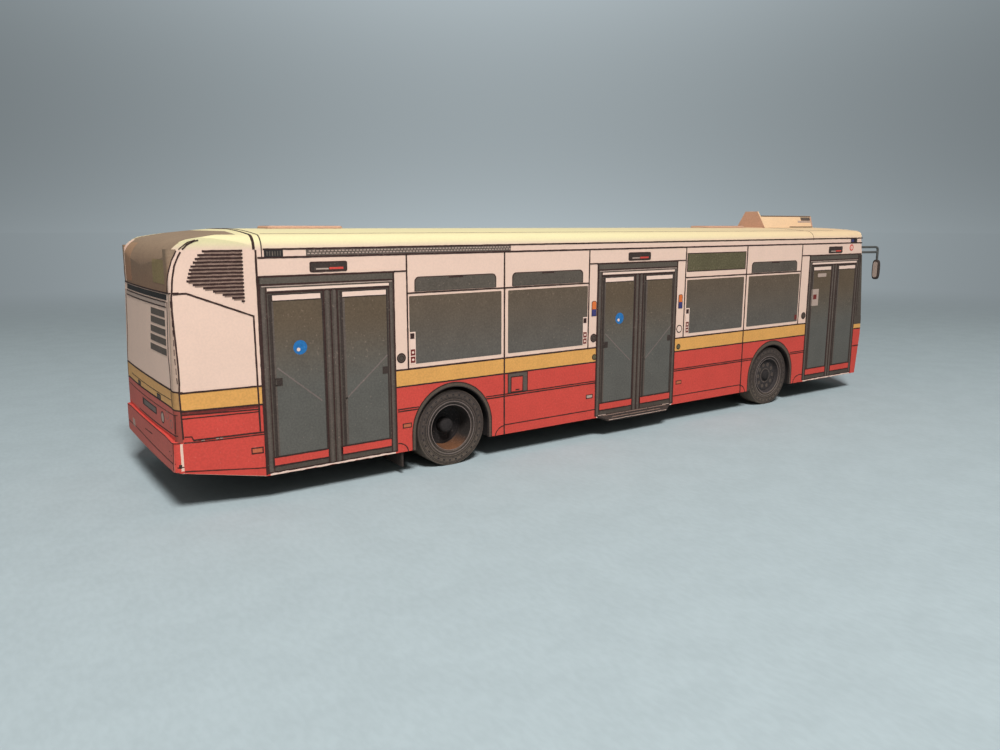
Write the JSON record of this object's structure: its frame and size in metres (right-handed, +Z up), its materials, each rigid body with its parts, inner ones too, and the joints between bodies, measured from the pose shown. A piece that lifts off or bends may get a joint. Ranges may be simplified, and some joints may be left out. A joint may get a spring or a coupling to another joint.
{
  "type": "card model of a three-door city bus",
  "caption": "Printed card model of a low-floor city bus with side doors, a boarding ramp, roof equipment, mirrors on arms and wheels that turn.",
  "frame": {"origin": "centre of the bounding box at ground level, under the tyres", "axes": "+X to the front of the bus, +Y to its left, +Z up"},
  "size_m": [0.1222, 0.0272, 0.0316],
  "materials": {
    "body_print": "white card printed in red, yellow and ink, matt",
    "axle_wire": "plain steel wire",
    "floor_card": "printed dark grey card, matt",
    "roof_card": "pale cream card, matt",
    "wheel_print": "printed dark grey card, matt",
    "tyre_print": "printed dark grey card, matt",
    "dark_card": "printed near-black card, matt",
    "mirror_card": "printed card, matt",
    "mirror_wire": "dark painted wire",
    "window_print": "printed dark window grey, matt"
  },
  "bodies": {
    "body": {"destination_box": "body_print", "front_floor": "floor_card", "front_panel": "body_print", "front_roof": "roof_card", "front_roof_hatch": "roof_card", "left_front_wheel_well": "dark_card", "left_mirror": "mirror_card", "left_mirror_arm": "mirror_wire", "left_mud_flap": "dark_card", "left_rear_cheek": "body_print", "left_rear_wheel_well": "dark_card", "left_side": "body_print", "middle_door_ramp": "body_print", "middle_floor": "floor_card", "rear_bumper": "body_print", "rear_floor": "floor_card", "rear_panel": "body_print", "rear_roof": "roof_card", "rear_roof_hatch": "roof_card", "rear_window": "window_print", "right_front_wheel_well": "dark_card", "right_mirror": "mirror_card", "right_mirror_arm": "mirror_wire", "right_mud_flap": "dark_card", "right_rear_cheek": "body_print", "right_rear_wheel_well": "dark_card", "right_side": "body_print", "roof": "roof_card", "roof_cooler": "roof_card", "tail_floor": "floor_card", "windscreen": "window_print"},
    "rear_axle": {"left_rear_rim": "wheel_print", "left_rear_tyre": "tyre_print", "rear_axle": "axle_wire", "right_rear_rim": "wheel_print", "right_rear_tyre": "tyre_print"},
    "front_axle": {"front_axle": "axle_wire", "left_front_rim": "wheel_print", "left_front_tyre": "tyre_print", "right_front_rim": "wheel_print", "right_front_tyre": "tyre_print"}
  },
  "joints": [
    {"name": "rear_axle_spin", "type": "hinge", "parent": "body", "child": "rear_axle", "pos_m": [-0.0286, 0, 0.00475], "axis": [0, 1, 0], "continuous": true},
    {"name": "front_axle_spin", "type": "hinge", "parent": "body", "child": "front_axle", "pos_m": [0.0326, 0, 0.00475], "axis": [0, 1, 0], "continuous": true}
  ]
}
